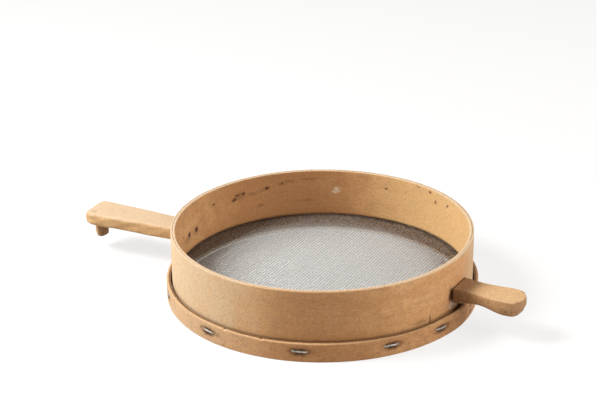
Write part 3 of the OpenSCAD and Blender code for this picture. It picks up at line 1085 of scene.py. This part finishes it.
# Painted light on the sides of the hoops that face the lamps
PAINTED_LIGHT_PALE = colour(226, 204, 170)
# Painted light on the long handle's top
PAINTED_TOP_LIGHT = colour(207, 186, 159)
# Painted light on the short handle's top
PAINTED_TOP_LIGHT_WARM = colour(222, 194, 152)
# Painted shade on the sides of the hoops that turn away from the key lamp, towards the camera
PAINTED_SHADE_TAN = colour(180, 128, 84)
# Painted shade in creases between parts, with some dirt
GRIME_AND_SHADE = colour(96, 66, 43)
# Painted shade in the gap between the foot hoop and the drum, and on the peg under the long handle
PAINTED_SHADE_BROWN = colour(80, 55, 37)
PALE_END = colour(214, 172, 126)
BROWN_END = colour(172, 132, 98)
# Painted shade, darker towards the bottom of the short handle
LOW_SHADE_BROWN = colour(150, 106, 74)
# Painted shadow of the drum on the short handle's root, with some stain
ROOT_SHADOW_AND_STAIN = colour(120, 80, 50)
# Painted shade in the gap at the short handle's butt
BUTT_GAP_SHADE = colour(44, 30, 20)

# Dirt and painted shade on the cloth, as metal takes them: a wide brown ring of both, and a dark one of
# painted shade at the liner
EDGE_DIRT_AND_SHADE = [(77, 102, 0.95, colour(92, 67, 42)),
             (LINER_IN - 5, LINER_IN - 1.5, 0.9, colour(30, 24, 18))]

# Bands are (direction, start, end, colour, share), as banded takes them
rim_worn = ("up", DRUM_TOP - 1.1, DRUM_TOP - 0.5, CREAM, 0.75)
drum_wood = wood(
    "drum_beech", BEECH, seed=0.0,
    # Painted light: the pale bands towards 210 and 30, on the sides that face the lamps. Painted shade:
    # the tan band towards 300, on the side turned away from the key lamp
    # The dark bands just above the foot hoop and on the inner wall under the cloth are painted shade in
    # those creases, with some dirt; the pale band at the bottom is a painted highlight on the inner bead
    bands=[(210, 8, 108, PAINTED_LIGHT_PALE, 0.8), rim_worn, (300, 103, 114, PAINTED_SHADE_TAN, 0.55),
           (30, 100, 114, PAINTED_LIGHT_PALE, 0.45), ("up", FOOT_TOP + 0.7, FOOT_TOP + 0.2, GRIME_AND_SHADE, 0.4),
           ("out", DRUM_IN + 0.7, DRUM_IN + 0.2, GRIME_AND_SHADE, 0.7), ("up", 2.8, 1.6, BEAD_HIGHLIGHT, 0.95)],
    # The second stain, towards 354.1, is a painted shadow in the gap beside the short handle's butt
    stains=wall_marks(DRUM_OUT, [(DRUM_LAP_DIR, 16.5, 2.6, 15), (354.1, 27, 7, 20)]),
    smudges=wall_marks(DRUM_OUT, [(338, 17.2, 26, 5), (300, 44, 5, 2)]),
    scuffs=wall_marks(DRUM_OUT, [(355.5, 18.5, 14, 9), (358.5, 17.0, 12, 8)]))

nail_stains = [(d, z, 5.4, 7.4) for d, z in LONG_NAILS + SHORT_NAILS]
tack_stains = [(d, z, 2.0, 2.2) for d, z in LINER_TACKS]
liner_wood = wood(
    "liner_beech", BEECH, seed=0.37,
    # Painted light: the golden band towards 40, where the inner wall faces the key lamp. Painted shade:
    # the tan band towards 138, where it turns away from the key lamp, and the dark band at the liner's
    # foot, in the corner over the cloth, with some dirt
    bands=[(40, 25, 108, PAINTED_LIGHT_GOLD, 0.75), (138, 76, 108, PAINTED_SHADE_TAN, 0.8),
           ("up", LINER_BOTTOM + 2.4, LINER_BOTTOM, GRIME_AND_SHADE, 0.7), rim_worn],
    stains=wall_marks(LINER_IN, nail_stains + LINER_STAINS + tack_stains), stain_core=0.55,
    smudges=wall_marks(LINER_IN, LINER_SMUDGES), scuffs=wall_marks(LINER_IN, LINER_SCUFFS))

staple_stains = [(d, STAPLE_Z, 22.5, 10.5) for d in STAPLE_DIRS]
staple_smudges = [(d + 1.2, STAPLE_Z, 32.0, 8.0) for d in STAPLE_DIRS]
lap_stains = [(d, z, 7, 3.6) for d, z in LAP_TACKS]
chip_scuffs = [(d + 0.5, FOOT_TOP - 0.4, 3.4, 2.4) for d in FOOT_CHIPS]
foot_wood = wood(
    "foot_beech", FOOT_BEECH, seed=0.71, dirt=0.5,
    # Painted light: the pale band towards 210. Painted shade: the tan band towards 300, and the dark
    # band on the inner part of the top and the inner face, in the gap at the drum
    bands=[(210, 15, 108, PAINTED_LIGHT_PALE, 0.5), (300, 108, 118, PAINTED_SHADE_TAN, 0.6),
           ("up", FOOT_TOP - 1.3, FOOT_TOP - 0.5, AGED, 0.65),
           ("out", FOOT_OUT - 1.1, FOOT_OUT - 2.0, PAINTED_SHADE_BROWN, 0.85)],
    stains=wall_marks(FOOT_OUT, staple_stains + lap_stains),
    # The wide smudge towards 35 along the top is a painted shadow of the drum
    smudges=wall_marks(FOOT_OUT, staple_smudges + [(35, FOOT_TOP, 60, 12)]),
    scuffs=wall_marks(FOOT_OUT, chip_scuffs))

# Marks on the handles are (place, turn, half sizes)
long_wood = wood("long_handle_beech", GOLD_BEECH, axis=LONG_DIR, seed=0.11,
                 # The pale band over the top and the upper sides is painted light
                 bands=[("up", LONG_HIGH - 2.6, LONG_HIGH - 0.5, PAINTED_TOP_LIGHT, 0.8)],
                 end_grain=(PALE_END, 0.5), smudges=[((-196.1, -27.9, 34), 0, (3.4, 2.6, 3))])
short_wood = wood(
    "short_handle_beech", BROWN_BEECH, axis=0, seed=0.23, end_grain=(BROWN_END, 0.7),
    # Painted shade: the band darker towards the bottom, the darker root, which is the drum's shadow with
    # some stain, and the dark band in the gap at the butt. Painted light: the pale band on the top
    bands=[("up", SHORT_HIGH - 3, SHORT_LOW + 1, LOW_SHADE_BROWN, 0.6),
           ("up", SHORT_HIGH - 2.2, SHORT_HIGH - 0.6, PAINTED_TOP_LIGHT_WARM, 0.35),
           (0, DRUM_OUT + 20, DRUM_OUT + 8, ROOT_SHADOW_AND_STAIN, 0.7),
           (0, DRUM_OUT + 1.6, DRUM_OUT + 0.4, BUTT_GAP_SHADE, 0.9)],
    smudges=[((156.0, -11.5, 24.5), 0, (5, 3, 4)), ((118, -9, 27), 0, (7, 6, 8)),
             ((163.0, -8.0, 24.5), 0, (4, 4, 2))])
peg_wood = wood("peg_beech", PEG_BEECH, axis=LONG_DIR, seed=0.53,
                # The dark band on the half of the peg nearer the drum is painted shade under the handle
                bands=[(LONG_DIR, DRUM_OUT + 83, DRUM_OUT + 82, PAINTED_SHADE_BROWN, 0.6)])

wire_steel = metal("wire_tinned", colour(181, 182, 180), colour(158, 157, 153), 0.42, 0.8,
                   dirt_and_shade_rings=EDGE_DIRT_AND_SHADE)
dull_wire = metal("wire_dull", colour(121, 121, 119), colour(99, 97, 92), 0.5, 0.8, dirt_and_shade_rings=EDGE_DIRT_AND_SHADE)
staple_steel = metal("staple_steel", colour(196, 190, 179), colour(92, 79, 66), 0.4, 0.6)
nail_iron = metal("nail_iron", colour(96, 66, 46), colour(58, 40, 29), 0.65, 0.3, patch=1400.0)

drum, liner, foot = build_hoops()
dress(drum, drum_wood, "beech_drum", "drum_hoop")
dress(liner, liner_wood, "beech_liner", "liner_hoop")
dress(foot, foot_wood, "beech_foot", "foot_hoop")
for count, wires in enumerate(build_cloth()):
    dress(wires, dull_wire if count == 3 else wire_steel, "wire_cloth",
          "cloth_warp" if count < 2 else "cloth_weft")
dress(build_long_handle(), long_wood, "beech_long_handle", "long_handle")
dress(build_short_handle(), short_wood, "beech_short_handle", "short_handle")
dress(build_peg(), peg_wood, "peg_wood", "handle_peg")
dress(build_staples(), staple_steel, "steel_staples", "foot_staples")
# Name, places, radius of the wall, the way it faces, radius of a head, seed, and the CAD node
HEADS = [("liner_tack_heads", LINER_TACKS, LINER_IN, 1, 0.65, 700, "liner_tacks"),
         ("long_nail_heads", LONG_NAILS, LINER_IN, 1, 2.0, 720, "long_handle_nails"),
         ("short_nail_heads", SHORT_NAILS, LINER_IN, 1, 2.0, 730, "short_handle_nails"),
         ("lap_tack_heads", LAP_TACKS, FOOT_OUT - 0.1, -1, 1.3, 740, "foot_lap_tacks")]
for *head, replaced in HEADS:
    dress(build_heads(*head), nail_iron, "dark_nails", replaced)
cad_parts["cloth_skirt"].data.materials.clear()
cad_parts["cloth_skirt"].data.materials.append(wire_steel)

bpy.context.scene.view_settings.view_transform = "Standard"
